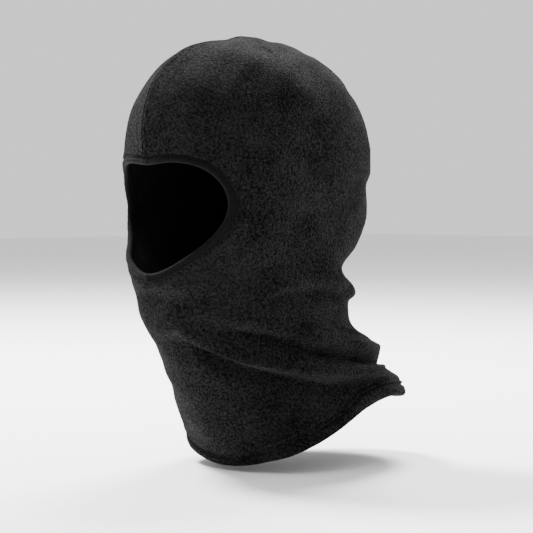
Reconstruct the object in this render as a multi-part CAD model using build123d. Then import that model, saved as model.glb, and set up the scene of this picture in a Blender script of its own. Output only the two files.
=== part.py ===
from build123d import *
import os

# A fleece balaclava, in the shape it takes on an adult head. Millimetres.
# The origin is the underside of the crown, where it rests on the top of the head.
# +Z is up, the face looks along -Y, and +X is the wearer's left.

# Cloth
FLEECE = 2.5  # thickness of the fleece
BINDING = 0.9  # thickness of each leg of the face binding, over and under the fleece
THREAD = 0.6  # thickness of every row of thread

# Hood outline, one row for each level from the brow line down to below the hem:
# height, front, back, half width, and how far back the widest point lies
LEVELS = [
    (-84, -104, 107, 77.5, 14),
    (-110, -100.5, 102, 79, 14),
    (-135, -99.5, 101, 76, 14),
    (-158, -98.5, 88, 72, 14),
    (-178, -99.5, 72, 67, 12),
    (-198, -92, 88, 70, 14),
    (-216, -88, 79, 72, 16),
    (-234, -75, 92, 74, 26),
    (-252, -67, 118, 79, 40),
    (-272, -55, 140, 83, 48),
    (-292, -46, 144, 84, 52),
    (-312, -34, 144, 84, 52),
    (-340, -19, 144, 84, 52),
]

# Crown, from the brow line up: how square its profile is towards the front, back and sides
CROWN_STEPS = (0.25, 0.45, 0.62, 0.76, 0.87, 0.945, 0.98, 0.996)  # share of the crown's height
CROWN_FRONT, CROWN_BACK, CROWN_SIDE = 2.35, 2.55, 1.8
RIDGE_FORWARD = 32.0  # how far its widest point moves forward on the way up

# Lower edge, from the chest point round to the back of the neck: (Y, Z)
HEM_LINE = [(-34, -332), (-7, -316), (20, -299), (52, -281), (84, -275), (111, -278), (144, -284)]
HEM_HEIGHT = 12.0  # of the turned-up band
HEM_PROUD = 0.5  # how far the doubled band stands out from the hood
HEM_STITCHES = (1.6, 2.4)  # how far below its upper edge the row of stitches starts and ends
HEM_LEAD = 60.0  # how far the cutting line runs on past each end of the hem line
HEM_LEAD_RISE = (36.0, -8.0)  # and how far it rises on the way

# Face opening seen from the front, right half, from the brow to the chin: (X, Z)
OPENING = [(0, -97), (28, -95.3), (49, -102), (59, -124), (48, -152.5), (26, -170), (0, -178.5)]
OPENING_CENTRE = -137.0
BINDING_ACROSS = 3.2  # how far the binding reaches out from the edge at the temples
BINDING_UPRIGHT = 5.0  # and at the brow and chin
BINDING_STITCHES = (0.7, 0.84)  # the shares of that reach at which its stitches start and end
JOIN_HALF_WIDTH = 4.5  # of the stitching over the ends of the strip, at the chin

# Seams
ALLOWANCE_WIDTH = 7.0  # sewn-in edge of each seam
ALLOWANCE = 2 * FLEECE  # its two layers, lying flat against the inside
SEAM_GROOVE = 0.8  # depth of the line where two panels meet
SEAM_LINE = 1.4  # and its width
OVERLOCK_WIDTH = 3.0  # of the thread that binds the raw edge
DART_LENGTH = 46.0  # of each crown dart, measured out from the middle line
DART_OFFSET = -4.0  # the darts lie in this plane, where the crown is widest
SEAM_GAP = 1.0  # left between the sewn-in edges that would meet at the crown

BROW = LEVELS[0][0]
FAR = 400.0  # larger than the whole hood
FRONT_PART = -10.0  # what is cut through the front of the hood ends at this Y, clear of the back


def level_outline(height, half_width, front_depth, back_depth, centre):
    """The closed outline at one level, half an ellipse in front and half behind."""
    with BuildLine(Plane((0, centre, height))):
        rear = EllipticalCenterArc((0, 0), half_width, back_depth, start_angle=0, arc_size=180)
        face = EllipticalCenterArc((0, 0), half_width, front_depth, start_angle=180, arc_size=180)
    return Wire([rear.edge(), face.edge()])


def share_at(step, squareness):
    """How much of its full reach the crown has left at this share of its height."""
    return (1 - step**squareness) ** (1 / squareness)


def envelope(inset):
    """The solid inside the hood's outer surface after that is moved in by inset."""
    brow, front, back, half_width, widest = LEVELS[0]
    rise = FLEECE - inset - brow
    outlines = []
    for step in reversed(CROWN_STEPS):
        side = share_at(step, CROWN_SIDE)
        centre = (widest - RIDGE_FORWARD * step) * side
        face_line = widest * side - (widest - front - inset) * share_at(step, CROWN_FRONT)
        back_line = widest * side + (back - widest - inset) * share_at(step, CROWN_BACK)
        height = brow + rise * step
        width = (half_width - inset) * side
        outlines.append(level_outline(height, width, centre - face_line, back_line - centre, centre))
    for height, front, back, half_width, widest in LEVELS:
        width, depths = half_width - inset, (widest - front - inset, back - widest - inset)
        outlines.append(level_outline(height, width, *depths, widest))
    return Solid.make_loft(outlines)


def slab(low, high):
    """A box between two corners."""
    size = [b - a for a, b in zip(low, high)]
    middle = [(a + b) / 2 for a, b in zip(low, high)]
    return Pos(*middle) * Box(*size)


def below_hem(lift):
    """Everything lower than the hem line raised by lift."""
    curve = Spline(*[(0, y, z + lift) for y, z in HEM_LINE])
    first, last = HEM_LINE[0], HEM_LINE[-1]
    start = (0, first[0] - HEM_LEAD, first[1] + lift + HEM_LEAD_RISE[0])
    end = (0, last[0] + HEM_LEAD, last[1] + lift + HEM_LEAD_RISE[1])
    lead_in = Line(start, curve @ 0)
    lead_out = Line(curve @ 1, end)
    floor = Polyline(end, (0, end[1], -FAR), (0, start[1], -FAR), start)
    outline = Face(Wire([lead_in, curve.edge(), lead_out] + list(floor.edges())))
    return extrude(outline, FAR / 2, dir=(1, 0, 0), both=True)


def opening_prism(across, upright):
    """The face opening carried straight back, grown by these amounts at its widest and tallest."""
    half_width = max(x for x, _ in OPENING)
    half_height = (OPENING[0][1] - OPENING[-1][1]) / 2
    wide = 1 + across / half_width
    tall = 1 + upright / half_height
    right = [(x * wide, OPENING_CENTRE + (z - OPENING_CENTRE) * tall) for x, z in OPENING]
    left = [(-x, z) for x, z in right[-2:0:-1]]
    outline = Spline(*[(x, -FAR / 2, z) for x, z in right + left], periodic=True)
    return extrude(Face(Wire([outline.edge()])), FAR / 2 + FRONT_PART, dir=(0, 1, 0))


def one_solid(shape):
    """The largest solid of a cut, with any loose shaving dropped."""
    return max(shape.solids(), key=lambda solid: solid.volume)


left_half = slab((0, -FAR, -FAR), (FAR, FAR, FAR))

# Surfaces that several pieces share
outside = envelope(0)
inside = envelope(FLEECE)
allowance_inside = envelope(FLEECE + ALLOWANCE)
overlock_inside = envelope(FLEECE + ALLOWANCE + THREAD)
binding_outside = envelope(-BINDING)
hem_outside = envelope(-HEM_PROUD)
under_hem = below_hem(0)
under_hem_band = below_hem(HEM_HEIGHT)
face_hole = opening_prism(0, 0)
binding_reach = opening_prism(BINDING_ACROSS, BINDING_UPRIGHT)


def mirrored(piece):
    """The same piece on the wearer's right."""
    return mirror(piece, about=Plane.YZ)


def make_panels():
    """The two fleece halves, with a shallow line along every seam."""
    half_line = SEAM_LINE / 2
    middle_line = slab((-half_line, -FAR, -FAR), (half_line, FAR, FAR))
    dart_line = slab(
        (-half_line, DART_OFFSET - half_line, BROW),
        (DART_LENGTH, DART_OFFSET + half_line, FAR),
    )
    bottom_of_groove = envelope(SEAM_GROOVE)
    groove = (outside & (middle_line + dart_line)) - bottom_of_groove
    panel = one_solid((outside & left_half) - inside - under_hem_band - face_hole - groove)
    return {"left_panel": panel, "right_panel": mirrored(panel)}


def seam_pieces(name, strip, edge):
    """One seam's sewn-in edge and the thread that binds it, cut from between the layers."""
    allowance = name + ("_allowance" if "dart" in name else "_seam_allowance")
    return {
        allowance: one_solid((inside & strip) - allowance_inside),
        name + "_overlock": one_solid((allowance_inside & edge) - overlock_inside),
    }


def make_middle_seams():
    """Seam allowances and their overlock thread down the middle of the hood."""
    stretches = {
        "front": ((-FAR, OPENING_CENTRE), (0, FAR)),
        "back": ((SEAM_GAP, -FAR), (FAR, FAR)),
        "chin": ((-FAR, -FAR), (FRONT_PART, OPENING_CENTRE)),
    }
    pieces = {}
    for name, ((near, low), (far, high)) in stretches.items():
        strip = slab((0, near, low), (ALLOWANCE_WIDTH, far, high))
        edge = slab((ALLOWANCE_WIDTH - OVERLOCK_WIDTH, near, low), (ALLOWANCE_WIDTH, far, high))
        for cutter in [under_hem_band] if name == "back" else [under_hem_band, binding_reach]:
            strip -= cutter
            edge -= cutter
        pieces.update(seam_pieces(name, strip, edge))
    return pieces


def make_darts():
    """Seam allowances and overlock thread of the two crown darts."""
    near = ALLOWANCE_WIDTH + SEAM_GAP
    back_edge = DART_OFFSET + ALLOWANCE_WIDTH
    strip = slab((near, DART_OFFSET, BROW), (DART_LENGTH, back_edge, FAR))
    edge = slab((near, back_edge - OVERLOCK_WIDTH, BROW), (DART_LENGTH, back_edge, FAR))
    pieces = seam_pieces("left_dart", strip, edge)
    pieces.update({name.replace("left", "right"): mirrored(piece) for name, piece in pieces.items()})
    return pieces


def make_binding():
    """The knit strip folded round the edge of the opening, its stitches and its join at the chin."""
    binding_inside = envelope(FLEECE + BINDING)
    strip = (binding_outside & (binding_reach - opening_prism(-BINDING, -BINDING))) - binding_inside
    fleece = (outside & (binding_reach - face_hole)) - inside
    near, far = (opening_prism(share * BINDING_ACROSS, share * BINDING_UPRIGHT) for share in BINDING_STITCHES)
    stitch_run = far - near
    thread_outside = envelope(-BINDING - THREAD)
    chin = OPENING[-1][1]
    tack = slab((-JOIN_HALF_WIDTH, -FAR, chin - BINDING_UPRIGHT), (JOIN_HALF_WIDTH, 0, chin - THREAD / 2))
    return {
        "face_binding": one_solid(strip - fleece),
        "binding_stitching": one_solid((thread_outside & (stitch_run - tack)) - binding_outside),
        "binding_join": one_solid((thread_outside & tack) - binding_outside),
    }


def make_hem():
    """The doubled band at the neck and the row of stitches near its upper edge."""
    band = (hem_outside & (under_hem_band - under_hem)) - envelope(2 * FLEECE)
    stitch_run = below_hem(HEM_HEIGHT - HEM_STITCHES[0]) - below_hem(HEM_HEIGHT - HEM_STITCHES[1])
    stitching = (envelope(-HEM_PROUD - THREAD) & stitch_run) - hem_outside
    return {"neck_hem": one_solid(band), "hem_stitching": one_solid(stitching)}


os.makedirs("parts", exist_ok=True)
for maker in (make_panels, make_middle_seams, make_darts, make_binding, make_hem):
    for node, piece in maker().items():
        export_step(piece, "parts/" + node + ".step")
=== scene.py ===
import math

import bpy
import numpy as np
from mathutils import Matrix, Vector, noise


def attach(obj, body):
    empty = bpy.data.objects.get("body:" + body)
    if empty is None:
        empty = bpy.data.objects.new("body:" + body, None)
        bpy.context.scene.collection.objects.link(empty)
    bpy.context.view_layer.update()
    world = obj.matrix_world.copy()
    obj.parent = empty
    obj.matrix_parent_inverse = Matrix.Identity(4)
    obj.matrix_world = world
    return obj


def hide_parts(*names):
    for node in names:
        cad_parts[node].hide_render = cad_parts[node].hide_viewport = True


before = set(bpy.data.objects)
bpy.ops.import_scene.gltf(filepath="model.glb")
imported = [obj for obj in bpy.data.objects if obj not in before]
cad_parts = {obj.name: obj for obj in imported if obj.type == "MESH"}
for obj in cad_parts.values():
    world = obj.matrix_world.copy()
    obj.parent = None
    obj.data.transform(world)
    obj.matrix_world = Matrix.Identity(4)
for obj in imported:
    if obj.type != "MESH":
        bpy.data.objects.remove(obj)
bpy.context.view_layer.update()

# A fleece balaclava. Lengths are millimetres until a mesh is made, then metres.
# +Z is up, the face looks along -Y, and +X is the wearer's left. An angle round the hood is
# 0 at the middle of the face, 90 over the wearer's left ear and 180 at the back seam.
# A point of the cloth is given by that angle and a step: 0 at the crown, 1 at the brow line,
# and one more for each STEP_HEIGHT below it.
MM = 0.001

# Hood outline by level. The first five numbers are the CAD model's: height, front, back,
# half width and how far back the widest point lies. The last is how square the front is.
LEVELS = np.array([
    (-340, -19, 144, 84, 52, 2.0),
    (-312, -34, 144, 84, 52, 2.0),
    (-292, -46, 144, 84, 52, 2.0),
    (-272, -55, 140, 83, 48, 2.0),
    (-252, -67, 118, 79, 40, 2.0),
    (-234, -75, 92, 74, 26, 2.0),
    (-216, -88, 79, 72, 16, 2.1),
    (-198, -92, 88, 70, 14, 2.2),
    (-178, -99.5, 72, 67, 12, 2.3),
    (-158, -98.5, 88, 72, 14, 2.4),
    (-135, -99.5, 101, 76, 14, 2.45),
    (-110, -100.5, 102, 79, 14, 2.35),
    (-84, -104, 107, 77.5, 14, 2.2),
])
BACK_SQUARENESS = 2.1
FLEECE = 2.5  # thickness of the cloth
BROW = LEVELS[-1][0]
CROWN_RISE = FLEECE - BROW
# How square the crown's profile is. The sides are fuller than the CAD model's 1.8.
CROWN_FRONT, CROWN_BACK, CROWN_SIDE = 2.35, 2.55, 1.95
RIDGED_FRONT, RIDGED_BACK = 1.5, 1.75  # squareness of the outline at the top, nearly a gable
RIDGE_FADE = 1.3  # how late on the way up the outline turns into that gable
RIDGE_FORWARD = 32.0  # how far the widest point moves forward on the way up
STEP_HEIGHT = 100.0

# Lower edge, from the chest round to the back of the neck
HEM_Y = [-34, -7, 20, 52, 84, 111, 144]
HEM_Z = [-332, -316, -299, -281, -275, -278, -284]
HEM_HEIGHT = 12.0  # of the turned-up band at the sides and back
HEM_ROLL = 4.5  # how much less of it shows at the front, where it rolls under
HEM_ROLL_END = (8, 62)  # the angles between which it comes back, in degrees

OPENING = [(0, -97), (28, -95.3), (49, -102), (59, -124), (48, -152.5), (26, -170), (0, -178.5)]
OPENING_MIDDLE = -137.0
BINDING_WIDTH = 5.0
BINDING_ACROSS = 3.2  # the same width at the temples, seen from the front

ALLOWANCE_WIDTH = 7.0  # sewn-in edge of each seam
DART_LENGTH = 46.0  # of each crown dart, out from the middle


# ------------------------------------------------------------------ the bare hood

def smooth(xs, ys, x):
    """Monotone cubic curve through the points (xs, ys), at x."""
    xs, ys = np.asarray(xs, float), np.asarray(ys, float)
    gap = np.diff(xs)
    slope = np.diff(ys) / gap
    same_way = slope[:-1] * slope[1:] > 0
    before, after = np.where(same_way, slope[:-1], 1), np.where(same_way, slope[1:], 1)
    weight_a, weight_b = 2 * gap[1:] + gap[:-1], gap[1:] + 2 * gap[:-1]
    tangent = np.zeros_like(ys)
    tangent[1:-1] = np.where(same_way, (weight_a + weight_b) / (weight_a / before + weight_b / after), 0)
    tangent[0], tangent[-1] = slope[0], slope[-1]
    x = np.clip(x, xs[0], xs[-1])
    i = np.clip(np.searchsorted(xs, x, side="right") - 1, 0, len(xs) - 2)
    h = gap[i]
    t = (x - xs[i]) / h
    return (
        ys[i] * (1 + 2 * t) * (1 - t) ** 2
        + ys[i + 1] * t * t * (3 - 2 * t)
        + h * t * (1 - t) * (tangent[i] * (1 - t) - tangent[i + 1] * t)
    )


def bump(distance, width):
    """A smooth hump, 1 at distance 0."""
    return np.exp(-((distance / width) ** 2))


def ramp(x, start, end):
    """0 before start, 1 after end, smooth between."""
    t = np.clip((x - start) / (end - start), 0, 1)
    return t * t * (3 - 2 * t)


def share_at(step, squareness):
    """How much of its full reach the crown has left at this share of its height."""
    return (1 - np.clip(step, 0, 1) ** squareness) ** (1 / squareness)


def height_of(step):
    """Height of a step on the bare hood."""
    crown = BROW + CROWN_RISE * np.cos(np.pi / 2 * np.minimum(step, 1))
    return np.where(step < 1, crown, BROW - STEP_HEIGHT * (step - 1))


def step_of(height):
    """The step at a height."""
    share = np.clip((height - BROW) / CROWN_RISE, 0, 1)
    return np.where(height > BROW, np.arccos(share) * 2 / np.pi, 1 + (BROW - height) / STEP_HEIGHT)


def bare(angle, step):
    """Point of the hood without folds."""
    height = height_of(step)
    low = np.minimum(height, BROW)
    front, back, width, widest, square = (smooth(LEVELS[:, 0], LEVELS[:, i], low) for i in range(1, 6))
    share = np.clip((height - BROW) / CROWN_RISE, 0, 1)
    side = share_at(share, CROWN_SIDE)
    centre = (widest - RIDGE_FORWARD * share) * side
    front_line = widest * side - (widest - front) * share_at(share, CROWN_FRONT)
    back_line = widest * side + (back - widest) * share_at(share, CROWN_BACK)
    cosine, sine = np.cos(angle), np.sin(angle)
    ridge = share**RIDGE_FADE
    front_power = square + (RIDGED_FRONT - square) * ridge
    back_power = BACK_SQUARENESS + (RIDGED_BACK - BACK_SQUARENESS) * ridge
    power = np.where(cosine > 0, front_power, back_power)
    reach = (np.abs(cosine) ** power + np.abs(sine) ** power) ** (-1 / power)
    depth = np.where(cosine > 0, centre - front_line, back_line - centre)
    x = width * side * reach * sine
    y = centre - depth * reach * cosine
    return np.stack(np.broadcast_arrays(x, y, height), -1)


def outward(surface, angle, step, reach=0.008):
    """Unit normal of a surface(angle, step), by small differences."""
    low, high = np.maximum(step - reach, 0.0005), step + reach
    along = surface(angle, high) - surface(angle, low)
    around = surface(angle + reach, step) - surface(angle - reach, step)
    normal = np.cross(along, around)
    length = np.linalg.norm(normal, axis=-1, keepdims=True)
    return np.where(length > 1e-7, normal / np.maximum(length, 1e-7), (0.0, 0.0, 1.0))


def angle_at(x, height):
    """The angle, on the face half, at which the bare hood is x from the middle."""
    step = step_of(height)
    low, high = np.full(np.shape(x), -np.pi / 2), np.full(np.shape(x), np.pi / 2)
    for _ in range(40):
        middle = (low + high) / 2
        short = bare(middle, step)[..., 0] < x
        low, high = np.where(short, middle, low), np.where(short, high, middle)
    return (low + high) / 2


# ------------------------------------------------------------------ outline of the face opening

def closed_curve(points, count):
    """Evenly spaced points on a smooth closed curve through the given ones."""
    points = np.asarray(points, float)
    size = len(points)
    chord = np.linalg.norm(np.roll(points, -1, 0) - points, axis=1)
    system = np.zeros((size, size))
    rise = np.zeros((size, 2))
    for i in range(size):
        before, after = chord[i - 1], chord[i]
        system[i, i - 1], system[i, i], system[i, (i + 1) % size] = before, 2 * (before + after), after
        rise[i] = 6 * ((points[(i + 1) % size] - points[i]) / after - (points[i] - points[i - 1]) / before)
    bend = np.linalg.solve(system, rise)
    samples = []
    for i in range(size):
        j = (i + 1) % size
        t = np.linspace(0, 1, 64, endpoint=False)[:, None]
        h = chord[i]
        samples.append(
            (1 - t) * points[i] + t * points[j]
            + h * h / 6 * (((1 - t) ** 3 - (1 - t)) * bend[i] + (t**3 - t) * bend[j])
        )
    samples = np.vstack(samples + [samples[0][:1]])
    length = np.concatenate([[0], np.cumsum(np.linalg.norm(np.diff(samples, axis=0), axis=1))])
    even = np.linspace(0, length[-1], count, endpoint=False)
    return np.stack([np.interp(even, length, samples[:, k]) for k in (0, 1)], -1)


# Points round the edge of the opening seen from the front, the way out from it at each, and
# how much of a distance out is left there, because the binding looks narrower at the temples
RIM = 300
outline = closed_curve(OPENING + [(-x, z) for x, z in OPENING[-2:0:-1]], RIM)
tangent = np.roll(outline, -1, 0) - np.roll(outline, 1, 0)
outline_out = np.stack([-tangent[:, 1], tangent[:, 0]], -1)
outline_out /= np.linalg.norm(outline_out, axis=1, keepdims=True)
if (outline_out * (outline - (0, OPENING_MIDDLE))).sum() < 0:
    outline_out = -outline_out
squeeze = np.hypot(outline_out[:, 0] * BINDING_ACROSS / BINDING_WIDTH, outline_out[:, 1])


def beside_opening(outwards, row=slice(None)):
    """Angle and step of the points this far out from the edge of the opening, along it."""
    flat = outline[row] + outline_out[row] * (squeeze[row] * outwards)[..., None]
    return angle_at(flat[..., 0], flat[..., 1]), step_of(flat[..., 1])


def inside_curve(x, z, curve):
    """Whether each point (x, z) lies inside the closed curve."""
    inside = np.zeros(x.shape, bool)
    for (x0, z0), (x1, z1) in zip(curve, np.roll(curve, -1, 0)):
        crosses = (z0 > z) != (z1 > z)
        if z0 != z1:
            inside ^= crosses & (x < x0 + (z - z0) / (z1 - z0) * (x1 - x0))
    return inside


# ------------------------------------------------------------------ seams, lumps and folds

# Each fold is a roll of cloth that hangs over a crease. By angle round the hood, in degrees:
# height of its crest, how far it stands out, how far below the crest the crease is, how deep
# that is. Above the crest the roll rises over "up"; below the crease the cloth comes back
# over "release". "drop" is how far the roll sags, as a share of how far it stands out.
FOLDS = {
    "shoulder": dict(up=11, release=13, drop=0.3, rows=[
        (0, -221, 0.6, 11, 0.5), (12, -219, 1.8, 11, 2), (20, -226, 4.5, 11, 5), (28, -232.5, 6, 11, 7),
        (42, -241.5, 8, 11, 8), (61, -250, 9, 11, 9), (79, -255, 9, 10, 9), (98, -256, 8, 9, 7.5),
        (110, -254, 6, 8, 5), (124, -251, 3.5, 7, 2.5), (140, -249, 1.5, 7, 1), (180, -248, 0.5, 7, 0.5),
    ]),
    "neck": dict(up=11, release=3.6, drop=0.3, rows=[
        (18, -201, 0, 15, 0), (30, -205, 1, 15, 2), (40, -208, 2, 15, 4), (50, -211, 3.5, 15, 6),
        (66, -217, 5.5, 18, 8), (78, -222, 7, 19, 9), (94, -230, 7.5, 16, 9), (123, -240, 9, 10, 8),
        (146, -246, 10, 7, 6), (180, -244, 8, 7, 4),
    ]),
    "nape": dict(up=12, release=8, drop=0.25, rows=[
        (55, -200, 0, 5, 0), (60, -196, 1.2, 5, 0.6), (65, -191, 3.2, 6.5, 2.4), (74, -186, 4.6, 8.5, 3.6),
        (89, -185, 5, 9, 4), (118, -187, 4.6, 10, 4), (128, -193, 3.5, 9, 3),
        (150, -197, 2, 8, 2), (180, -198, 1, 8, 1),
    ]),
    "crisp": dict(up=4, release=4, drop=0.2, rows=[
        (86, -211, 0, 4, 0), (94, -215, 1.5, 4, 0.4), (102, -219, 1.7, 4, 0.4), (114, -225, 1.2, 4, 0.3),
        (122, -228, 0, 4, 0),
    ]),
    "occiput": dict(up=9, release=9, drop=0.0, rows=[
        (98, -102, 0, 10, 0), (119, -102, 0.6, 10, 1.8), (150, -102, 0.6, 10, 1.8), (180, -102, 0.4, 10, 1),
    ]),
    "hem_wrinkle": dict(up=4, release=4, drop=0.2, rows=[
        (112, -266, 0, 4, 0), (126, -267, 1.2, 4, 0.8), (148, -268, 1.0, 4, 0.8), (168, -270, 0, 4, 0),
    ]),
}


TAUT_SHARE = 0.9  # how much of the folds is lost on the far side, where the cloth is pulled taut
WANDER = 4.0  # how far the folds' crests wander up and down there


def fold_offsets(angle, height):
    """How far the folds push the cloth out and pull it down."""
    degrees = np.degrees(np.abs(angle))
    far_side = np.where(angle < 0, np.sin(np.abs(angle)), 0)
    taut = np.where(angle < 0, ramp(degrees, 4, 22) * (1 - ramp(degrees, 80, 140)), 0)
    out, down = np.zeros_like(height), np.zeros_like(height)
    for number, fold in enumerate(FOLDS.values()):
        rows = np.array(fold["rows"], float)
        crest, size, gap, depth = (smooth(rows[:, 0], rows[:, i], degrees) for i in range(1, 5))
        inside = ramp(degrees, rows[0, 0] - 1, rows[0, 0]) * ramp(-degrees, -rows[-1, 0] - 1, -rows[-1, 0])
        size = size * inside * (1 - TAUT_SHARE * taut)
        depth = depth * inside * (1 - TAUT_SHARE * taut)
        crest = crest + fold["drop"] * size + far_side * WANDER * np.sin(3.1 * angle + 1.7 * number)
        below = (crest - height) / gap
        under = size - (size + depth) * ramp(below, 0, 1)
        recovering = -depth * bump((below - 1) * gap, fold["release"])
        roll = size * bump(below * gap, fold["up"])
        out = out + np.where(below < 0, roll, np.where(below < 1, under, recovering))
        down = down + fold["drop"] * size * bump(below * gap, 0.5 * gap + 2)
    return out, down


TENT_NARROW, TENT_WIDE = 9.0, 42.0  # the cloth rises over the first distance and sinks over the second
TENT_SIZE = 3.4
DART_FADE = (14, 4)  # a dart fades from this far before its end to this far past it


def seam_offset(angle, step, point):
    """The cloth stands up along each seam, with a fine line where the two edges meet."""
    def crease(distance, sharpness):
        tent = sharpness * (np.exp(-distance / TENT_NARROW) - np.exp(-distance / TENT_WIDE))
        return tent + 0.3 * bump(distance - 1.8, 1.3) - 0.45 * bump(distance, 0.6)

    throat = np.where(np.cos(angle) > 0, ramp(step, 1.3, 1.6), 0)
    below_brow = 0.75 * ramp(step, 0.9, 1.4)
    middle = crease(np.abs(point[..., 0]), TENT_SIZE * (1 - below_brow) * (1 - throat))
    ridge = bare(np.sign(angle) * np.pi / 2, step)
    along = np.abs(ridge[..., 0])
    fade = ramp(along, DART_LENGTH - DART_FADE[0], DART_LENGTH + DART_FADE[1])
    dart = (1 - fade) * ramp(step, 0.02, 0.1)
    distance = np.linalg.norm(point - ridge, axis=-1)
    return middle * (1 - 0.85 * throat) + dart * crease(distance, TENT_SIZE)


# The edge of the opening by the direction from its middle
RIM_TURN = np.arctan2(outline[:, 0], outline[:, 1] - OPENING_MIDDLE)
RIM_ORDER = np.argsort(RIM_TURN)
RIM_REACH = np.hypot(outline[:, 0], outline[:, 1] - OPENING_MIDDLE)
GATHERS = 46  # small gathers in the binding and the cloth beside it
# Distance out from the edge, width and size of the dip beside the binding and the swell outside it
RIM_DIP = (5.4, 0.9, -0.8)
RIM_SWELL = (8.6, 2.2, 0.7)


def rim_offset(angle, point):
    """The fleece dips where the binding bites it, and puckers a little just outside."""
    rise = point[..., 2] - OPENING_MIDDLE
    turn = np.arctan2(point[..., 0], rise)
    edge, narrowing = (
        np.interp(turn, RIM_TURN[RIM_ORDER], values[RIM_ORDER], period=2 * np.pi)
        for values in (RIM_REACH, squeeze)
    )
    beyond = (np.hypot(point[..., 0], rise) - edge) / narrowing
    pucker = 1 + 0.35 * np.sin(GATHERS * turn) * np.sin(9 * turn + 1)
    dip, swell = (size * bump(beyond - out, width) for out, width, size in (RIM_DIP, RIM_SWELL))
    return np.where(np.cos(angle) > 0, dip + swell * pucker, 0)


LUMPS = [  # direction, wavelength, phase and size of each broad wave in the cloth
    ((0.9, 0.3, 0.35), 61, 0.4, 0.55),
    ((-0.4, 0.8, 0.5), 47, 2.1, 0.45),
    ((0.3, -0.5, 0.9), 34, 4.0, 0.35),
    ((-0.7, -0.5, 0.4), 23, 1.2, 0.22),
    ((0.5, 0.7, -0.6), 16, 5.2, 0.14),
]


def lump_offset(point):
    """Broad, shallow unevenness of cloth that doesn't lie quite smooth."""
    total = 0
    for direction, length, phase, size in LUMPS:
        total = total + size * np.sin(point @ np.array(direction) * 2 * np.pi / length + phase)
    return total


def chin_offset(angle, height):
    """The cloth pulled over the chin, with a soft edge either side of it."""
    degrees = np.degrees(np.abs(angle))
    edge = 1.2 * bump(degrees - 20, 9) * bump(height + 207, 13)
    puff = 1.3 * bump(height + 187, 5) * (1 - ramp(degrees, 18, 34))
    return edge + puff


def hem_height(angle):
    """Height of the lower edge of the bare hood at this angle."""
    height = np.full(np.shape(angle), -295.0)
    for _ in range(12):
        height = 0.5 * height + 0.5 * smooth(HEM_Y, HEM_Z, bare(angle, step_of(height))[..., 1])
    return height


HEM_TURN = np.linspace(-np.pi, np.pi, 360, endpoint=False)
HEM_EDGE = hem_height(HEM_TURN)


def hem_band(angle):
    """Height of the turned-up band, which rolls under at the front."""
    return HEM_HEIGHT - HEM_ROLL * (1 - ramp(np.degrees(np.abs(angle)), *HEM_ROLL_END))


# Height above the band, width and size of the pinch where it is sewn and the swell over that
HEM_PINCH = (1.0, 1.7, -1.1)
HEM_SWELL = (4.5, 2.5, 0.5)


def cloth(angle, step):
    """Point of the hood's outer surface, folds and seams included."""
    angle, step = np.broadcast_arrays(np.asarray(angle, float), np.asarray(step, float))
    point = bare(angle, step)
    height = point[..., 2]
    out, down = fold_offsets(angle, height)
    out = out + seam_offset(angle, step, point) + chin_offset(angle, height) + lump_offset(point)
    out = out + rim_offset(angle, point)
    above_hem = height - np.interp(angle, HEM_TURN, HEM_EDGE, period=2 * np.pi) - hem_band(angle)
    for up, width, size in (HEM_PINCH, HEM_SWELL):
        out = out + size * bump(above_hem - up, width)
    point = point + outward(bare, angle, step) * out[..., None]
    point[..., 2] -= down
    return point


# ------------------------------------------------------------------ materials

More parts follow.
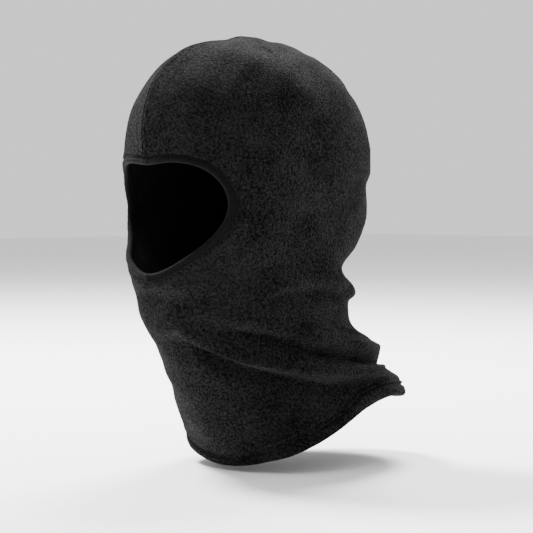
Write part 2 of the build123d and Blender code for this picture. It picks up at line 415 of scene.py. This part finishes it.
def material(name, dark, light, clump, bump_depth, sheen, roughness=0.92, fibre=1400, ribs=0.0):
    """A fabric whose colour and sheen vary in clumps, with a fibrous bump and sometimes ribs.

    clump, bump_depth and ribs are millimetres; ribs is the distance from one to the next.
    """
    made = bpy.data.materials.new(name)
    made.use_nodes = True
    nodes, links = made.node_tree.nodes, made.node_tree.links
    shader = nodes["Principled BSDF"]
    shader.inputs["Roughness"].default_value = roughness
    shader.inputs["Specular IOR Level"].default_value = 0.03
    shader.inputs["Sheen Roughness"].default_value = 0.45
    shader.inputs["Sheen Tint"].default_value = (0.82, 0.84, 0.88, 1)
    place = nodes.new("ShaderNodeTexCoord")

    def noise_of(scale, detail, rough=0.6):
        texture = nodes.new("ShaderNodeTexNoise")
        texture.inputs["Scale"].default_value = scale
        texture.inputs["Detail"].default_value = detail
        texture.inputs["Roughness"].default_value = rough
        links.new(place.outputs["Object"], texture.inputs["Vector"])
        return texture.outputs["Fac"]

    def combine(kind, a, b):
        node = nodes.new("ShaderNodeMath")
        node.operation = kind
        for socket, value in zip(node.inputs, (a, b)):
            if isinstance(value, (int, float)):
                socket.default_value = value
            else:
                links.new(value, socket)
        return node.outputs[0]

    clumps = noise_of(1000 / clump, 3)
    broad = noise_of(28, 2)
    fibres = noise_of(fibre, 2, 0.7)
    shade = combine("ADD", combine("MULTIPLY", clumps, 0.75), combine("MULTIPLY", broad, 0.25))
    colours = nodes.new("ShaderNodeValToRGB")
    colours.color_ramp.elements[0].position = 0.4
    colours.color_ramp.elements[0].color = (*dark, 1)
    colours.color_ramp.elements[1].position = 0.63
    colours.color_ramp.elements[1].color = (*light, 1)
    links.new(shade, colours.inputs["Fac"])
    links.new(colours.outputs["Color"], shader.inputs["Base Color"])
    fuzz = nodes.new("ShaderNodeMapRange")
    fuzz.inputs["From Min"].default_value = 0.4
    fuzz.inputs["From Max"].default_value = 0.62
    fuzz.inputs["To Min"].default_value = 0.15 * sheen
    fuzz.inputs["To Max"].default_value = 2 * sheen
    links.new(shade, fuzz.inputs["Value"])
    links.new(fuzz.outputs["Result"], shader.inputs["Sheen Weight"])
    height = combine("ADD", clumps, combine("MULTIPLY", fibres, 0.45))
    if ribs:
        wave = nodes.new("ShaderNodeTexWave")
        wave.bands_direction = "Y"
        wave.inputs["Scale"].default_value = 0.314 / ribs
        wave.inputs["Distortion"].default_value = 0.6
        links.new(place.outputs["UV"], wave.inputs["Vector"])
        height = combine("ADD", height, combine("MULTIPLY", wave.outputs["Fac"], 1.2))
    surface = nodes.new("ShaderNodeBump")
    surface.inputs["Strength"].default_value = 1.05
    surface.inputs["Distance"].default_value = bump_depth * MM
    links.new(height, surface.inputs["Height"])
    links.new(surface.outputs["Normal"], shader.inputs["Normal"])
    return made


FLEECE_OUT = material(
    "fleece", (0.0006, 0.0006, 0.0006), (0.0110, 0.0107, 0.0108), clump=1.8, bump_depth=2.2, sheen=0.03,
)
FLEECE_IN = material(
    "fleece_inside", (0.002, 0.002, 0.002), (0.007, 0.0068, 0.0069), clump=1.7, bump_depth=0.5, sheen=0.02,
)
KNIT = material(
    "knit_binding", (0.0016, 0.0016, 0.0016), (0.0038, 0.0038, 0.0038), clump=1.2, bump_depth=0.12,
    sheen=0.015, roughness=0.7, fibre=2600, ribs=0.9,
)
OVERLOCK = material(
    "overlock_thread", (0.01, 0.01, 0.01), (0.02, 0.0195, 0.0195), clump=0.6, bump_depth=0.08,
    sheen=0.02, roughness=0.75, fibre=3000,
)
TOPSTITCH = material(
    "topstitch_thread", (0.002, 0.002, 0.002), (0.005, 0.0049, 0.0049), clump=0.6, bump_depth=0.06,
    sheen=0.015, roughness=0.6, fibre=3000,
)


# ------------------------------------------------------------------ mesh helpers

def make_piece(name, points, faces, finish, slot, uvs=None):
    """A mesh object that stands for the CAD node of the same name."""
    mesh = bpy.data.meshes.new(name)
    mesh.from_pydata((np.asarray(points, float) * MM).tolist(), [], [tuple(map(int, f)) for f in faces])
    mesh.validate()
    mesh.shade_smooth()
    mesh.materials.append(finish)
    if uvs is not None:
        layer = mesh.uv_layers.new(name="UVMap")
        index = np.zeros(len(mesh.loops), int)
        mesh.loops.foreach_get("vertex_index", index)
        layer.data.foreach_set("uv", np.asarray(uvs, float)[index].ravel())
    piece = bpy.data.objects.new(name + "_cloth", mesh)
    bpy.context.scene.collection.objects.link(piece)
    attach(piece, "root")
    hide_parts(name)
    return piece


def grid_faces(rows, columns, rows_wrap=False, columns_wrap=False):
    """Quads of a grid of rows x columns points, optionally closed either way."""
    faces = []
    for i in range(rows if rows_wrap else rows - 1):
        for j in range(columns if columns_wrap else columns - 1):
            k, m = (i + 1) % rows, (j + 1) % columns
            faces.append((i * columns + j, k * columns + j, k * columns + m, i * columns + m))
    return faces


def along_profile(surface_points, normals, depths):
    """Points moved in from the surface by each depth."""
    return surface_points - normals * np.asarray(depths, float)[..., None]


def capsules(centres, directions, ups, length, radius):
    """Small rounded rods, one for each stitch, as points and faces."""
    sides = 6
    rings = [(-0.5, 0.35), (-0.38, 0.85), (0, 1.0), (0.38, 0.85), (0.5, 0.35)]  # along, share of radius
    points, faces = [], []
    for centre, direction, up in zip(centres, directions, ups):
        direction = direction / np.linalg.norm(direction)
        across = np.cross(direction, up)
        across /= np.linalg.norm(across)
        rise = np.cross(across, direction)
        first = len(points)
        for share, width in rings:
            for k in range(sides):
                turn = 2 * np.pi * k / sides
                offset = across * np.cos(turn) + rise * np.sin(turn)
                points.append(centre + direction * share * length + offset * radius * width)
        for i in range(len(rings) - 1):
            for k in range(sides):
                a, b = first + i * sides + k, first + i * sides + (k + 1) % sides
                faces.append((a, b, b + sides, a + sides))
        faces.append([first + k for k in range(sides)][::-1])
        faces.append([first + (len(rings) - 1) * sides + k for k in range(sides)])
    return points, faces


def tube(path, ups, radius, sides=6):
    """A closed-ended round tube along a path, as points and faces."""
    path = np.asarray(path, float)
    direction = np.gradient(path, axis=0)
    direction /= np.linalg.norm(direction, axis=1, keepdims=True)
    across = np.cross(direction, ups)
    across /= np.linalg.norm(across, axis=1, keepdims=True)
    rise = np.cross(across, direction)
    turns = 2 * np.pi * np.arange(sides) / sides
    ring = across[:, None] * np.cos(turns)[:, None] + rise[:, None] * np.sin(turns)[:, None]
    points = (path[:, None] + radius * ring).reshape(-1, 3)
    faces = grid_faces(len(path), sides, columns_wrap=True)
    faces.append(list(range(sides)))
    faces.append([len(points) - sides + k for k in range(sides)][::-1])
    return points, faces


# ------------------------------------------------------------------ fleece panels

COLUMNS = 170
SEAM_COLUMNS = np.array([0.01, 0.45, 0.9, 1.4, 2.0, 2.8, 3.8])  # distances from a seam
SEAM_RADIUS = 76.0  # turns those distances into angles
CROWN_ROWS, FACE_ROWS = 66, 165  # rows above and below the brow line
FIRST_STEP = 0.012  # the panels start this close to the very top
PANEL_END = 11.0  # height above the lower edge at which the panel runs into the band
UNDER_BINDING = 2.0  # how far outside the opening's edge the panel ends, inside the folded binding
NAP = 0.1  # depth of the nap's unevenness


def panel_angles():
    """Angles of a panel's columns, closer together beside the middle seams."""
    near = SEAM_COLUMNS / SEAM_RADIUS
    last = near[-1]
    between = np.linspace(last, np.pi - last, COLUMNS - 2 * len(near) + 2)[1:-1]
    return np.concatenate([near, between, np.pi - near[::-1]])


def pile(points):
    """Fine unevenness of the nap, for each point."""
    return np.array([noise.noise(Vector(p) * 0.42) + 0.5 * noise.noise(Vector(p) * 0.9) for p in points])


def make_panel(name, sign):
    """One half of the hood, on the side of sign, with the face opening cut out."""
    angles = panel_angles()[::sign] * sign
    lower = step_of(hem_height(angles) + PANEL_END * hem_band(angles) / HEM_HEIGHT)
    crown = np.linspace(FIRST_STEP, 1, CROWN_ROWS)[:, None] + 0 * angles
    face = 1 + np.linspace(0, 1, FACE_ROWS + 1)[1:, None] * (lower - 1)
    steps = np.vstack([crown, face])
    grid_angles = np.broadcast_to(angles, steps.shape)
    rows, columns = steps.shape
    flat = bare(grid_angles, steps)
    faces = np.array(grid_faces(rows, columns))
    grown = outline + outline_out * (squeeze * UNDER_BINDING)[:, None]
    middle = flat.reshape(-1, 3)[faces].mean(1)
    facing = np.cos(grid_angles.ravel()[faces[:, 0]]) > 0
    cut = facing & inside_curve(middle[:, 0], middle[:, 2], grown)
    faces = faces[~cut]
    points = cloth(grid_angles, steps).reshape(-1, 3)
    normals = outward(cloth, grid_angles, steps, 0.012).reshape(-1, 3)
    points += normals * (NAP * pile(points))[:, None]
    used = np.unique(faces)
    renumber = np.zeros(len(points), int)
    renumber[used] = np.arange(len(used))
    piece = make_piece(name, points[used], renumber[faces], FLEECE_OUT, "fleece")
    piece.data.materials.append(FLEECE_IN)
    thick = piece.modifiers.new("thickness", "SOLIDIFY")
    thick.thickness = FLEECE * MM
    thick.offset = -1
    thick.use_quality_normals = True
    thick.material_offset = 1
    bpy.context.view_layer.update()
    solid = bpy.data.meshes.new_from_object(piece.evaluated_get(bpy.context.evaluated_depsgraph_get()))
    piece.modifiers.clear()
    piece.data = solid
    return piece


# ------------------------------------------------------------------ binding, hem and threads

BINDING_PROFILE = [  # distance out from the edge, depth below the fleece's outer face
    (5.3, 0.5), (5.1, -0.45), (4.6, -0.75), (4.1, -0.5), (3.7, 0.05), (3.2, -0.6), (2.4, -1.1),
    (1.4, -1.2), (0.4, -0.9), (-0.5, -0.1), (-0.9, 1.3), (-0.5, 2.8), (0.5, 3.6), (2.2, 3.8),
    (3.6, 3.5), (4.1, 3.1), (5.0, 3.2), (5.2, 2.6), (3.0, 2.55), (1.0, 2.55), (0.4, 1.25), (1.0, -0.02),
    (3.0, -0.02),
]
HEM_PROFILE = [  # height above the lower edge, depth below the fleece's outer face
    (12.0, 1.5), (11.8, 0.2), (11.4, -0.6), (10.9, -0.7), (10.4, -0.2), (9.6, 1.4), (8.8, -0.2), (8.0, -1.0),
    (6.5, -1.4), (3.5, -1.3), (1.5, -0.6), (0.2, 0.7), (-0.3, 2.1),
    (0.1, 3.8), (1.5, 4.9), (6.0, 5.2), (10.5, 5.0), (12.2, 4.2), (12.4, 2.8),
]
STITCH_LINE = 3.7  # how far out from the edge the binding's stitches run
HEM_STITCH_LINE = 9.6  # how far above the lower edge the hem's stitches run
HEM_STITCH_DEPTH = 0.9  # how far below the fleece's outer face they lie
HEM_TURNS = 420  # points round the hem
GATHER_DEPTH = 0.16  # of the binding's small gathers
NORMAL_REACH = 0.02  # angle and step over which the way out of the cloth is measured for trim
JOIN_HALF_WIDTH = 4.0  # of the gap in the binding's stitches where its ends are joined
JOIN_BARS, JOIN_START, JOIN_PITCH = 13, 0.4, 0.38  # threads of that join, the first one's place, spacing


def beside(outwards, row=slice(None)):
    """The cloth and its outward direction along the points this far out from the opening."""
    place = beside_opening(outwards, row)
    return cloth(*place), outward(cloth, *place, NORMAL_REACH)


def make_binding():
    """The knit strip folded round the edge of the opening."""
    ring = []
    for out, depth in BINDING_PROFILE:
        ring.append(along_profile(*beside(np.full(RIM, out)), np.full(RIM, depth)))
    points = np.stack(ring)  # profile x rim
    place = np.arange(RIM)
    gather = GATHER_DEPTH * np.sin(place * 2 * np.pi * GATHERS / RIM) * np.sin(place * 0.37)
    face_side = np.array([depth < 1 for _, depth in BINDING_PROFILE])[:, None]
    _, normal = beside(np.full(RIM, 3.0))
    points += normal[None] * (gather[None] * face_side)[..., None]
    steps_across = [math.dist(a, b) for a, b in zip(BINDING_PROFILE, BINDING_PROFILE[1:])]
    across = np.cumsum([0] + steps_across)
    rim_length = np.linalg.norm(np.roll(outline, -1, 0) - outline, axis=1).sum()
    uvs = np.stack(np.meshgrid(place * rim_length / RIM, across), -1).reshape(-1, 2)
    faces = grid_faces(len(BINDING_PROFILE), RIM, True, True)
    make_piece("face_binding", points.reshape(-1, 3), faces, KNIT, "knit_binding", uvs)


def spaced(points, pitch):
    """Positions, as fractional indices, of stitches at this pitch along a closed run of points."""
    length = np.concatenate([[0], np.cumsum(np.linalg.norm(np.roll(points, -1, 0) - points, axis=1))])
    count = int(length[-1] / pitch)
    return np.interp(np.arange(count) * length[-1] / count, length, np.arange(len(points) + 1))


def stitch_row(name, points, normals, pitch, length, radius, skip=None):
    """Stitches along a closed run of points, as one piece."""
    at = spaced(points, pitch)

    def sampled(values):
        closed = np.vstack([values, values[:1]])
        return np.stack([np.interp(at, np.arange(len(closed)), closed[:, k]) for k in range(3)], -1)

    where, ups = sampled(points), sampled(normals)
    direction = np.roll(where, -1, 0) - np.roll(where, 1, 0)
    keep = np.ones(len(where), bool) if skip is None else ~skip(where)
    mesh = capsules(where[keep], direction[keep], ups[keep], length, radius)
    return make_piece(name, *mesh, TOPSTITCH, "topstitch_thread")


def make_binding_threads():
    """The row of stitches along the binding, and the close bars that join its ends at the chin."""
    points, normal = beside(np.full(RIM, STITCH_LINE))
    chin = OPENING[-1][1]

    def at_join(where):
        return (np.abs(where[:, 0]) < JOIN_HALF_WIDTH) & (where[:, 2] < chin)

    stitch_row("binding_stitching", points + normal * 0.1, normal, 3.2, 2.3, 0.3, at_join)
    lowest = int(np.argmin(np.abs(outline[:, 0]) + 1000 * (outline[:, 1] > OPENING_MIDDLE)))
    bars, ups, ways = [], [], []
    for k in range(JOIN_BARS):
        point, up = beside(np.array([JOIN_START + JOIN_PITCH * k]), slice(lowest, lowest + 1))
        bars.append((point + up * (1.4 - 0.03 * k))[0])
        ups.append(up[0])
        ways.append(np.array([1.0, 0.0, 0.14 * (-1) ** k]))
    make_piece("binding_join", *capsules(bars, ways, ups, 5.2, 0.3), TOPSTITCH, "topstitch_thread")


def make_hem():
    """The doubled band at the lower edge, with its stitches lying in their groove."""
    angle = np.linspace(-np.pi, np.pi, HEM_TURNS, endpoint=False) + 1e-4
    edge = hem_height(angle)
    ring = []
    for above, depth in HEM_PROFILE:
        step = step_of(edge + above * hem_band(angle) / HEM_HEIGHT)
        surface, normal = cloth(angle, step), outward(cloth, angle, step, NORMAL_REACH)
        ring.append(along_profile(surface, normal, np.full(HEM_TURNS, depth)))
    points = np.stack(ring)
    nap = pile(points.reshape(-1, 3)).reshape(len(HEM_PROFILE), HEM_TURNS)
    normal = outward(cloth, angle, step_of(edge + HEM_HEIGHT / 2), NORMAL_REACH)
    points = points + normal[None] * (NAP * nap)[..., None]
    faces = grid_faces(len(HEM_PROFILE), HEM_TURNS, True, True)
    make_piece("neck_hem", points.reshape(-1, 3), faces, FLEECE_OUT, "fleece")
    step = step_of(edge + HEM_STITCH_LINE * hem_band(angle) / HEM_HEIGHT)
    normal = outward(cloth, angle, step, NORMAL_REACH)
    stitches = cloth(angle, step) - normal * HEM_STITCH_DEPTH
    stitch_row("hem_stitching", stitches, normal, 3.0, 2.1, 0.28)


# ------------------------------------------------------------------ seam allowances

ALLOWANCE_PROFILE = [  # share of the width out from the seam, depth below the fleece's outer face
    (-0.12, 2.3), (1.0, 2.3), (1.04, 3.4), (1.0, 4.75), (1.05, 6.0), (1.0, 7.2), (0.5, 7.5), (-0.05, 7.3),
]
# The overlock thread's zigzag: distance out from the seam, depth below the fleece's outer face
OVERLOCK_ZIGZAG = np.array([(7.3, 7.0), (5.6, 7.75), (4.3, 7.75), (5.6, 7.75)])
OVERLOCK_PITCH = 0.8  # along the seam, from each point of the zigzag to the next
OVERLOCK_RADIUS = 0.3
SEAM_NORMAL_REACH = 0.03  # like NORMAL_REACH, for the seams
SEAM_TOP, DART_TOP, DART_FOOT = 0.12, 0.2, 0.42  # steps at which the seams and darts start and end


def strip_frames(angle, steps, lateral):
    """Angles and steps of points lateral millimetres round from a seam."""
    turn = 0.01
    ahead = bare(angle + turn, steps) - bare(angle - turn, steps)
    rate = np.linalg.norm(ahead, axis=-1) / (2 * turn)
    return angle + lateral / np.maximum(rate, 4), steps


def make_seam(allowance, overlock, angle, steps, way):
    """A seam's sewn-in edge, pressed to one side, and the zigzag thread that binds it."""
    ring = []
    for share, depth in ALLOWANCE_PROFILE:
        place = strip_frames(angle, steps, way * share * ALLOWANCE_WIDTH + way * 0.2)
        surface, normal = cloth(*place), outward(cloth, *place, SEAM_NORMAL_REACH)
        ring.append(along_profile(surface, normal, np.full(len(steps), depth)))
    points = np.stack(ring, 1).reshape(-1, 3)
    size = len(ALLOWANCE_PROFILE)
    faces = grid_faces(len(steps), size, columns_wrap=True)
    faces += [tuple(range(size)), tuple(range(len(points) - size, len(points)))[::-1]]
    make_piece(allowance, points, faces, FLEECE_IN, "fleece_inside")
    pieces = np.linalg.norm(np.diff(bare(angle, steps), axis=0), axis=1)
    length = np.concatenate([[0], np.cumsum(pieces)])
    count = int(length[-1] / OVERLOCK_PITCH)
    thread_steps = np.interp(np.linspace(0.5, length[-1] - 0.5, count), length, steps)
    lateral, depth = OVERLOCK_ZIGZAG[np.arange(count) % len(OVERLOCK_ZIGZAG)].T
    place = strip_frames(angle, thread_steps, lateral * way)
    normal = outward(cloth, *place, SEAM_NORMAL_REACH)
    path = cloth(*place) - normal * depth[:, None]
    make_piece(overlock, *tube(path, normal, OVERLOCK_RADIUS), OVERLOCK, "overlock_thread")


def make_seams():
    """Every sewn-in edge and its overlock thread."""
    brow, chin = OPENING[0][1] + BINDING_WIDTH + 1, OPENING[-1][1] - BINDING_WIDTH - 1
    hem_front, hem_back = (
        float(hem_height(np.array([angle]))[0]) + HEM_HEIGHT + 1 for angle in (0.0, np.pi)
    )
    runs = {  # angle, first step, last step, side to which it is pressed
        "front": (0.0, SEAM_TOP, float(step_of(brow)), 1),
        "back": (np.pi, SEAM_TOP, float(step_of(hem_back)), -1),
        "chin": (0.0, float(step_of(chin)), float(step_of(hem_front)), 1),
        "left_dart": (np.pi / 2, DART_TOP, DART_FOOT, 1),
        "right_dart": (-np.pi / 2, DART_TOP, DART_FOOT, -1),
    }
    for name, (angle, start, end, way) in runs.items():
        steps = np.linspace(start, end, max(12, int((end - start) * 60)))
        allowance = name + ("_allowance" if "dart" in name else "_seam_allowance")
        make_seam(allowance, name + "_overlock", angle + 1e-5, steps, way)


# ------------------------------------------------------------------ build

panels = [make_panel("left_panel", 1), make_panel("right_panel", -1)]
make_binding()
make_binding_threads()
make_hem()
make_seams()


# ------------------------------------------------------------------ floor, light and camera

def plain(name, colour, roughness=0.9):
    """A smooth matt material of one colour."""
    made = bpy.data.materials.new(name)
    made.use_nodes = True
    made.node_tree.nodes["Principled BSDF"].inputs["Base Color"].default_value = (*colour, 1)
    made.node_tree.nodes["Principled BSDF"].inputs["Roughness"].default_value = roughness
    return made


# From here on, metres
FLOOR_HEIGHT = -0.331  # just under the lowest point of the hem
bpy.ops.mesh.primitive_plane_add(size=14, location=(0, 0, FLOOR_HEIGHT))
floor = bpy.context.object
floor.name = "floor"
floor.data.materials.append(plain("floor", (0.86, 0.86, 0.86)))

TARGET = Vector((0.010, 0.011, -0.175))  # what the camera and the lights point at


def area_light(name, place, size, power):
    """A round soft light that points at the hood."""
    light = bpy.data.lights.new(name, "AREA")
    light.shape = "DISK"
    light.size = size
    light.energy = power
    lamp = bpy.data.objects.new(name, light)
    bpy.context.scene.collection.objects.link(lamp)
    lamp.location = place
    lamp.rotation_euler = (TARGET - Vector(place)).to_track_quat("-Z", "Y").to_euler()


area_light("key", (-0.6, 0.95, 1.35), 0.8, 105)
area_light("left", (-1.40, -0.22, 1.75), 0.7, 225)
area_light("front", (0.9, -1.3, 1.5), 1.2, 20)

world = bpy.data.worlds.new("studio")
bpy.context.scene.world = world
world.use_nodes = True
world.node_tree.nodes["Background"].inputs["Color"].default_value = (1, 1, 1, 1)
world.node_tree.nodes["Background"].inputs["Strength"].default_value = 1.05

lens = bpy.data.cameras.new("camera")
lens.lens = 121.8
camera = bpy.data.objects.new("camera", lens)
bpy.context.scene.collection.objects.link(camera)
camera.location = (1.040, -0.937, -0.123)
camera.rotation_euler = (TARGET - camera.location).to_track_quat("-Z", "Y").to_euler()
bpy.context.scene.camera = camera
